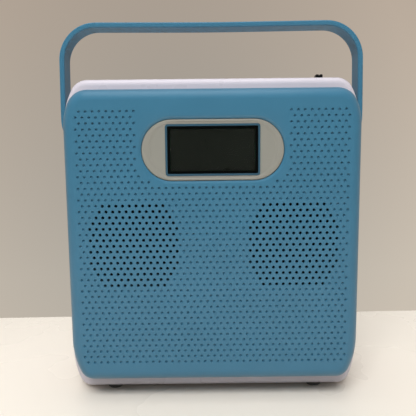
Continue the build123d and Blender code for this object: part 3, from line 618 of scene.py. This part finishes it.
def place(name, shape, finish, body, replaces=()):
    """Makes the piece's mesh, smooth but for its sharp edges, and lets it ride on a body."""
    weld, sharp = 1e-7, radians(38.0)
    mesh = bpy.data.meshes.new(name)
    mesh.from_pydata(shape.points, [], shape.faces)
    work = bmesh.new()
    work.from_mesh(mesh)
    bmesh.ops.remove_doubles(work, verts=work.verts, dist=weld)
    bmesh.ops.recalc_face_normals(work, faces=work.faces)
    work.to_mesh(mesh)
    work.free()
    mesh.shade_smooth()
    mesh.set_sharp_from_angle(angle=sharp)
    mesh.materials.append(finishes[finish])
    piece = bpy.data.objects.new(name, mesh)
    bpy.context.scene.collection.objects.link(piece)
    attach(piece, body)
    if replaces:
        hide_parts(*replaces)


# Front moulding. Rows of dots are numbered downwards, and the speakers' middle is a row.

speaker_x, speaker_z, speaker_flange = 60.0 * mm, 126.67 * mm, -46.5 * mm
screw_offset = 31.0 * mm
post_x, post_low, post_high = 97.0 * mm, 36.0 * mm, 228.0 * mm
seam, tongue_end, tongue_inset = -28.0 * mm, -25.0 * mm, 1.4 * mm
surround_flange, surround_gap = 2.5 * mm, 0.3 * mm
first_row, last_row, speaker_row = -26, 18, -3

# A pierced field: how far out its middle is, its half height in rows, its half width, and how wide
# its cut corners leave it, which is half a pitch less with each row. Widths are in pitches.
field_middle, field_rows, field_width, field_cut = 12.0, 7, 6.5, 8.0

# A pit's profile as (share of the radius, share of the depth), from the face inwards.
pit_profile = [(1.0, 0.0), (0.93, 0.35), (0.78, 0.75), (0.45, 0.95)]


def dot_reach(row):
    """How near the middle the dots of a row come, in pitches: the rows beside the display stop
    short."""
    last_full_row = -16
    if row <= last_full_row:
        return 11.5 if row % 2 == 0 else 12.0
    return {-15: 11.0, -14: 9.5}.get(row, 0.0)


def is_pierced(along, row):
    """True where a dot at this many pitches from the middle opens onto a speaker."""
    across = abs(abs(along) - field_middle)
    away = abs(row - speaker_row)
    return away <= field_rows and across <= field_width and across + away / 2 <= field_cut


def dots(pitch):
    """Every dot of the face as (x, z, pierced)."""
    found = []
    for row in range(first_row, last_row + 1):
        z = speaker_z - (row - speaker_row) * pitch * sqrt(3) / 2
        last_step = 39 if row % 2 == 0 else 40
        for step in range(-last_step, last_step + 1, 2):
            along = step / 2
            if abs(along) >= dot_reach(row):
                found.append((along * pitch, z, is_pierced(along, row)))
    return found


def front_moulding(face):
    """Shell with its perforated face, drawn ring by ring from the middle of the face round to the
    inside."""
    half = (front_high.x - front_low.x) / 2
    top = (face.top_tight, face.top_wide, face.top_turn)
    bottom = (face.low_tight, face.low_wide, face.low_turn)
    front = front_low.y
    top_edge = front_high.z - face.top_drop
    inner_round = face.edge - face.wall
    narrow = face.edge_width / face.edge
    back = front + face.plate
    margin, lead, sunk = 0.05 * mm, 0.35 * mm, 0.5 * mm
    shape = Shape()

    def edge_ring(inset, depth):
        """The cabinet's line at this distance inside its outline."""
        return shape.ring(cabinet_line(half, front_low.z, top_edge, top, bottom, inset), depth)

    def bend(start, radius, depth, steps=10):
        """Insets and depths round an edge of this radius, from the side into the face."""
        turns = [pi / 2 * k / steps for k in range(steps + 1)]
        return [(start + radius * (1 - cos(a)), depth + radius * (1 - sin(a))) for a in turns]

    outer = [edge_ring(face.edge_width + margin, front)]
    outer += [edge_ring(inset * narrow, depth)
              for inset, depth in reversed(bend(0.0, face.edge, front))]
    outer += [edge_ring(0.0, seam - lead), edge_ring(lead, seam), edge_ring(tongue_inset, seam)]
    outer += [edge_ring(tongue_inset, tongue_end), edge_ring(face.wall, tongue_end)]
    inner = [edge_ring(*step) for step in bend(face.wall, inner_round, back)]
    inner += [edge_ring(face.edge + margin, back)]
    shape.skin(*outer, *inner)

    show = ((surround_low.x + surround_high.x) / 2, (surround_low.z + surround_high.z) / 2)
    mouth_width = (surround_high.x - surround_low.x) / 2 - surround_flange + surround_gap
    mouth_height = (surround_high.z - surround_low.z) / 2 - surround_flange + surround_gap
    # The slope round the display, as (share of the bevel's width, depth in millimetres).
    slope = [(1.12, 0.0), (1.0, 0.05), (0.1, 0.95), (0.0, 1.15), (0.0, face.plate / mm)]
    mouth = []
    for out, deep in slope:
        wider = out * face.bevel
        line = round_ended(mouth_width + wider, mouth_height + wider, show)
        mouth.append(shape.ring(line, front + deep * mm))
    shape.skin(*mouth)

    rims, backs = [mouth[0]], [mouth[-1]]
    for x, z, pierced in dots(face.pitch):
        if pierced:
            rim = shape.ring(circle(x, z, face.hole_radius, face.dot_sides), front)
            end = shape.ring(circle(x, z, face.hole_radius * face.flare, face.dot_sides), back)
            shape.skin(rim, end)
            backs.append(end)
        else:
            rings = [shape.ring(circle(x, z, face.pit_radius * wide, face.dot_sides),
                                front + face.pit_depth * deep) for wide, deep in pit_profile]
            shape.skin(*rings)
            shape.dome(rings[-1], (x, front + face.pit_depth, z))
            rim = rings[0]
        rims.append(rim)
    shape.sheet(outer[0], rims)
    shape.sheet(inner[-1], backs)
    for x in (-post_x, post_x):
        for z in (post_low, post_high):
            shape.boss(x, z, radius=4.0 * mm, bore=1.55 * mm, root=back - sunk, end=front_high.y,
                       deep=12.0 * mm)
    for speaker in (-speaker_x, speaker_x):
        for x in (speaker - screw_offset, speaker + screw_offset):
            for z in (speaker_z - screw_offset, speaker_z + screw_offset):
                shape.boss(x, z, radius=3.0 * mm, bore=1.25 * mm, root=back - sunk,
                           end=speaker_flange, deep=2.4 * mm)
    return shape


class RADIO_OT_front(Operator):
    """Make the front moulding with every dot of its face"""
    bl_idname = "radio.front"
    bl_label = "Front moulding"

    def execute(self, context):
        shape = front_moulding(context.scene.radio_face)
        place("front_moulding", shape, "blue_plastic", "cabinet", ["front_cabinet"])
        return {"FINISHED"}


# Display surround

def display_surround(sizes):
    """Stadium-shaped ring: flange, rounded rim, shallow dish and the opening for the window
    frame."""
    half_width = (surround_high.x - surround_low.x) / 2
    half_height = (surround_high.z - surround_low.z) / 2
    middle = (0.0, (surround_low.z + surround_high.z) / 2)
    face, back = surround_low.y, surround_high.y
    flange_face, lap_back = front_low.y + 2.5 * mm, -47.5 * mm
    bands, slope = 6, 2.6 * mm
    dish_corner, dish_steps = 0.93, 16
    hole_gap, hole_corner, hole_steps = 0.1 * mm, 2.0 * mm, 6
    peg_x, peg_z, peg_radius, peg_sides = 45.0 * mm, 12.0 * mm, 2.2 * mm, 20
    peg_root = lap_back - 0.5 * mm
    shape = Shape()

    def stadium_ring(inset, depth):
        """The flange's line at this distance inside its outline."""
        return shape.ring(round_ended(half_width - inset, half_height - inset, middle), depth)

    def dish_ring(ends, sides, depth):
        """The dish starts further in at the round ends than along the straight sides."""
        across, up = half_width - surround_flange - ends, half_height - surround_flange - sides
        return shape.ring(rounded(across, up, up * dish_corner, middle, dish_steps), depth)

    rings = [stadium_ring(0.0, lap_back), stadium_ring(0.0, flange_face),
             stadium_ring(surround_flange, flange_face)]
    for step in range(bands + 1):
        angle = pi / 2 * step / bands
        rings.append(stadium_ring(surround_flange + sizes.rim_round * (1 - cos(angle)),
                                  face + sizes.rim_round * (1 - sin(angle))))
    for step in range(bands + 1):
        t = step / bands
        sink = sizes.dish_depth * t * t * (3 - 2 * t)
        rings.append(dish_ring(sizes.dish_width - slope * (1 - t),
                               sizes.rim_width * (0.7 + 0.3 * t), face + sink))
    shape.skin(*rings)
    hole = rounded((window_high.x - window_low.x) / 2 + hole_gap,
                   (window_high.z - window_low.z) / 2 + hole_gap, hole_corner, middle,
                   hole_steps)
    front_hole = shape.ring(hole, face + sizes.dish_depth)
    back_hole = shape.ring(hole, lap_back)
    shape.skin(front_hole, back_hole)
    shape.sheet(rings[-1], [front_hole])
    shape.sheet(rings[0], [back_hole])
    for x in (-peg_x, peg_x):
        for z in (-peg_z, peg_z):
            shape.prism(circle(x, middle[1] + z, peg_radius, peg_sides), peg_root, back)
    return shape


class RADIO_OT_display(Operator):
    """Make the white surround of the display"""
    bl_idname = "radio.display"
    bl_label = "Display surround"

    def execute(self, context):
        shape = display_surround(context.scene.radio_surround)
        place("display_surround", shape, "surround", "cabinet", ["display_bezel"])
        return {"FINISHED"}


# Slide knob

def slide_knob(sizes):
    """Small knob with softened edges and a groove across its top, on a stem that stands in the
    middle of its node."""
    low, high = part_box("function_switch_knob")
    middle_y = (low.y + high.y) / 2
    half_depth, soft = sizes.depth / 2, 0.35 * mm
    right = high.x
    left = right - sizes.width
    foot = high.z - sizes.height
    centre = (left + right) / 2
    half_groove, groove_floor = sizes.groove / 2, high.z - sizes.groove * 0.7
    half_floor = half_groove * 0.6
    profile = [(left, foot), (left, high.z - soft), (left + soft, high.z),
               (centre - half_groove, high.z), (centre - half_floor, groove_floor),
               (centre + half_floor, groove_floor), (centre + half_groove, high.z),
               (right - soft, high.z), (right, high.z - soft), (right, foot)]
    shape = Shape()
    shape.prism(profile, middle_y - half_depth, middle_y + half_depth)
    stem, stem_x = 1.5 * mm, (low.x + high.x) / 2
    shape.prism([(stem_x - stem, low.z), (stem_x + stem, low.z), (stem_x + stem, foot + soft),
                 (stem_x - stem, foot + soft)], middle_y - stem, middle_y + stem)
    return shape


class RADIO_OT_knob(Operator):
    """Make the black slide knob on the top"""
    bl_idname = "radio.knob"
    bl_label = "Slide knob"

    def execute(self, context):
        shape = slide_knob(context.scene.radio_knob)
        place("slide_knob", shape, "knob", "function_switch",
              ["function_switch_knob"])
        return {"FINISHED"}


# Signs on the keys

def arrow(x, y, width, height):
    """Triangle that points right, or left where its width is below zero."""
    return [(x, y - height / 2), (x + width, y), (x, y + height / 2)]


def bar(x, y, width, height):
    """Rectangle about its middle."""
    return [(x - width / 2, y - height / 2), (x + width / 2, y - height / 2),
            (x + width / 2, y + height / 2), (x - width / 2, y + height / 2)]


def key_signs():
    """Outlines of each key's sign about the key's middle, in millimetres."""
    double_right = [arrow(-2.3, 0, 2.2, 2.8), arrow(-0.1, 0, 2.2, 2.8), bar(2.5, 0, 0.5, 2.8)]
    double_left = [[(-x, y) for x, y in outline] for outline in double_right]
    return {
        "previous_key": double_left,
        "play_pause_key": [arrow(-2.3, 0, 2.5, 2.8), bar(1.1, 0, 0.6, 2.8), bar(2.3, 0, 0.6, 2.8)],
        "stop_key": [bar(0, 0, 2.5, 2.5)],
        "next_key": double_right,
        "volume_down_key": [bar(0, 0, 3.0, 0.6)],
        "volume_up_key": [bar(0, 0, 3.0, 0.6), bar(0, 0.95, 0.6, 1.3), bar(0, -0.95, 0.6, 1.3)],
        "mode_key": [circle(-1.5, 0, 0.65, 16), circle(0.0, 0, 0.65, 16), circle(1.5, 0, 0.65, 16)],
        "program_key": [bar(0, 1.1, 3.2, 0.5), bar(0, 0, 3.2, 0.5), bar(0, -1.1, 3.2, 0.5)],
    }


class RADIO_OT_signs(Operator):
    """Print a plain sign on each key and the marks beside the slide knob"""
    bl_idname = "radio.signs"
    bl_label = "Signs on the top"

    def execute(self, context):
        film = 0.04 * mm
        for key, outlines in key_signs().items():
            low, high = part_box(key)
            middle = (low + high) / 2
            shape = Shape("top")
            for outline in outlines:
                moved = [(middle.x + x * mm, middle.y + y * mm) for x, y in outline]
                shape.prism(moved, high.z, high.z + film)
            place(key.replace("_key", "_sign"), shape, "sign", key)
        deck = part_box("rear_cabinet")[1].z
        low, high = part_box("function_switch_knob")
        throw, mark_radius, mark_sides = 3.0 * mm, 0.45 * mm, 16
        middle, ahead = (low.x + high.x) / 2, low.y - 2.2 * mm
        marks = Shape("top")
        for step in (-1, 0, 1):
            mark = circle(middle + step * throw, ahead, mark_radius, mark_sides)
            marks.prism(mark, deck - film, deck + film)
        place("switch_marks", marks, "sign", "cabinet")
        return {"FINISHED"}


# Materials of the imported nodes

class RADIO_OT_finishes(Operator):
    """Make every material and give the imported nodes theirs"""
    bl_idname = "radio.finishes"
    bl_label = "Finishes"

    def execute(self, context):
        make_finishes(context.scene.radio_finishes)
        # The window frame takes the blue darkened with painted shade, and the feet take grey
        # rubber.
        special = {"window_frame": "frame", "feet": "feet"}
        slots = {part["node"]: part["material_slot"] for part in frame["record"]["subparts"]}
        for name, node in frame["nodes"].items():
            node.data.materials.clear()
            node.data.materials.append(finishes[special.get(name, slots[name])])
        return {"FINISHED"}


# Stage

def flat(name, corners, material):
    """One flat face of the stage."""
    mesh = bpy.data.meshes.new(name)
    mesh.from_pydata(corners, [], [tuple(range(len(corners)))])
    mesh.materials.append(material)
    piece = bpy.data.objects.new(name, mesh)
    bpy.context.scene.collection.objects.link(piece)
    return piece


def table_material(colour, front_edge):
    """Pale laminate with a low sheen and the faintest mottle. Past its front edge, gloss finds the
    dim room."""
    material, tree, surface = new_material("Table", Specular_IOR_Level=0.35)
    mottle = noise(tree, 9.0, 3.0)
    tone = two_tones(tree, mottle, tuple(c * 0.985 for c in colour), colour)
    ahead = add(tree, "ShaderNodeSeparateXYZ", {"Vector": own_place(tree)}).outputs["Y"]
    past = arithmetic(tree, "LESS_THAN", ahead, -front_edge)
    gloss = add(tree, "ShaderNodeLightPath").outputs["Is Glossy Ray"]
    hidden = arithmetic(tree, "MULTIPLY", past, gloss)
    shown = blended(tree, hidden, tone, paint((0.05, 0.05, 0.05)))
    tree.links.new(shown, surface["Base Color"])
    tree.links.new(spread(tree, mottle, 0.22, 0.32), surface["Roughness"])
    return material


def wall_material(low, high, shade):
    """Backdrop seen from its front only, with painted light: darker towards its top and lighter to
    the right. Behind the radio lies a painted shadow, an oval placed by a shift and a stretch."""
    foot, top, half_span = 0.05, 0.38, 0.25
    shift, stretch = (0.14, 0.0, -0.62), (4.8, 0.0, 3.9)
    darkest, plain_again = 0.35, 1.4
    left_tone, right_tone = 0.955, 1.045
    material = bpy.data.materials.new("Backdrop")
    material.use_nodes = True
    tree = material.node_tree
    tree.nodes.clear()
    spot = own_place(tree)
    parts = add(tree, "ShaderNodeSeparateXYZ", {"Vector": spot}).outputs
    # Painted shade: the wall darkens towards its top.
    rise = carried(tree, parts["Z"], foot, top)
    plain = blended(tree, rise, paint(low), paint(high))
    links = {"Vector": spot, "Location": shift, "Scale": stretch}
    near = add(tree, "ShaderNodeMapping", links).outputs["Vector"]
    away = add(tree, "ShaderNodeVectorMath", {0: near}, operation="LENGTH").outputs["Value"]
    # Painted shadow of the radio on the wall, darkest in the oval's middle.
    dark = carried(tree, away, darkest, plain_again, 1.0, 0.0)
    tone = blended(tree, dark, plain, paint(shade), blend_type="MULTIPLY")
    # Painted light: the wall brightens from left to right.
    side = carried(tree, parts["X"], -half_span, half_span, left_tone, right_tone)
    shown = brightened(tree, tone, side)
    glow = add(tree, "ShaderNodeEmission", {"Color": shown, "Strength": 1.0})
    nothing = add(tree, "ShaderNodeBsdfTransparent")
    behind = add(tree, "ShaderNodeNewGeometry").outputs["Backfacing"]
    mix = add(tree, "ShaderNodeMixShader", {0: behind, 1: glow.outputs[0], 2: nothing.outputs[0]})
    add(tree, "ShaderNodeOutputMaterial", {"Surface": mix.outputs[0]})
    return material


def make_sky(strength, colour, room):
    """Light from all round, strongest overhead. Camera, gloss and glass see the backdrop's colour,
    and gloss and glass see the dim room towards the front."""
    horizon, overhead, highest = strength * 0.8, strength * 1.2, 0.8
    room_whole, room_none = -0.5, 0.15
    warm = (1.0, 0.98, 0.95, 1.0)
    world = bpy.data.worlds.new("Sky")
    world.use_nodes = True
    tree = world.node_tree
    tree.nodes.clear()
    direction = add(tree, "ShaderNodeTexCoord").outputs["Generated"]
    parts = add(tree, "ShaderNodeSeparateXYZ", {"Vector": direction}).outputs
    climb = carried(tree, parts["Z"], 0.0, highest, horizon, overhead)
    light = add(tree, "ShaderNodeBackground", {"Color": warm, "Strength": climb})
    ahead = carried(tree, parts["Y"], room_whole, room_none)
    around = blended(tree, ahead, paint(room), paint(colour))
    path = add(tree, "ShaderNodeLightPath").outputs
    tone = blended(tree, path["Is Camera Ray"], around, paint(colour))
    seen = add(tree, "ShaderNodeBackground", {"Color": tone, "Strength": 1.0})
    either = arithmetic(tree, "MAXIMUM", path["Is Camera Ray"], path["Is Glossy Ray"])
    either = arithmetic(tree, "MAXIMUM", either, path["Is Transmission Ray"])
    mix = add(tree, "ShaderNodeMixShader", {0: either, 1: light.outputs[0], 2: seen.outputs[0]})
    add(tree, "ShaderNodeOutputWorld", {"Surface": mix.outputs[0]})
    bpy.context.scene.world = world


def soft_lamp(name, power, place_at, aim, width, depth, in_gloss=True):
    """Area lamp aimed at a point. A fill lamp lights the radio but stays out of its gloss."""
    lamp = bpy.data.lights.new(name, "AREA")
    lamp.shape = "RECTANGLE"
    lamp.size, lamp.size_y = width, depth
    lamp.energy = power
    piece = bpy.data.objects.new(name, lamp)
    piece.location = place_at
    piece.rotation_euler = (Vector(aim) - Vector(place_at)).to_track_quat("-Z", "Y").to_euler()
    piece.visible_camera = False
    piece.visible_glossy = in_gloss
    bpy.context.scene.collection.objects.link(piece)


class RADIO_OT_stage(Operator):
    """Set up the table, the backdrop, the light and the camera"""
    bl_idname = "radio.stage"
    bl_label = "Stage"

    def execute(self, context):
        scene = context.scene
        stage = scene.radio_stage
        reach = 3.0  # how far the table and the backdrop extend, far past the picture
        flat("table", [(-reach, -reach, 0), (reach, -reach, 0), (reach, reach, 0),
                       (-reach, reach, 0)], table_material(stage.floor, stage.table_front))
        left = stage.wall_gap - reach * stage.wall_slant
        right = stage.wall_gap + reach * stage.wall_slant
        wall = flat("backdrop", [(-reach, left, 0), (reach, right, 0), (reach, right, reach),
                                 (-reach, left, reach)],
                    wall_material(stage.wall, stage.wall_top, stage.wall_painted_shadow))
        wall.visible_diffuse = False
        wall.visible_shadow = False
        make_sky(stage.sky, stage.wall, stage.room)
        soft_lamp("overhead", stage.lamp, place_at=(-0.08, -0.02, 1.35), aim=(0.0, -0.02, 0.0),
                  width=1.6, depth=0.8)
        soft_lamp("fill", stage.fill, place_at=(-0.15, -1.00, 1.20), aim=(0.0, 0.0, 0.05),
                  width=0.8, depth=0.4, in_gloss=False)
        camera = bpy.data.objects.new("camera", bpy.data.cameras.new("camera"))
        camera.location = stage.eye
        camera.rotation_euler = stage.turn
        camera.data.lens = stage.lens
        scene.collection.objects.link(camera)
        scene.camera = camera
        scene.view_settings.view_transform = "Standard"
        return {"FINISHED"}


class RADIO_PT_sidebar(Panel):
    bl_label = "Portable disc radio"
    bl_idname = "RADIO_PT_sidebar"
    bl_space_type = "VIEW_3D"
    bl_region_type = "UI"
    bl_category = "Radio"

    def draw(self, context):
        for step in steps:
            self.layout.operator(step.bl_idname)


steps = [RADIO_OT_finishes, RADIO_OT_front, RADIO_OT_display, RADIO_OT_knob, RADIO_OT_signs,
         RADIO_OT_stage]
settings = {"radio_finishes": RadioFinishes, "radio_face": FaceSizes,
            "radio_surround": SurroundSizes, "radio_knob": KnobSizes,
            "radio_stage": StageSettings}


def register():
    for kind in (*settings.values(), *steps, RADIO_PT_sidebar):
        bpy.utils.register_class(kind)
    for name, kind in settings.items():
        setattr(bpy.types.Scene, name, PointerProperty(type=kind))


def unregister():
    for name in settings:
        delattr(bpy.types.Scene, name)
    for kind in reversed((*settings.values(), *steps, RADIO_PT_sidebar)):
        bpy.utils.unregister_class(kind)


def main():
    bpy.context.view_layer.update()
    register()
    for name in ("Cube", "Light", "Camera"):
        if name in bpy.data.objects:
            bpy.data.objects.remove(bpy.data.objects[name])
    bpy.ops.radio.finishes()
    bpy.ops.radio.front()
    bpy.ops.radio.display()
    bpy.ops.radio.knob()
    bpy.ops.radio.signs()
    bpy.ops.radio.stage()


if __name__ == "__main__":
    main()
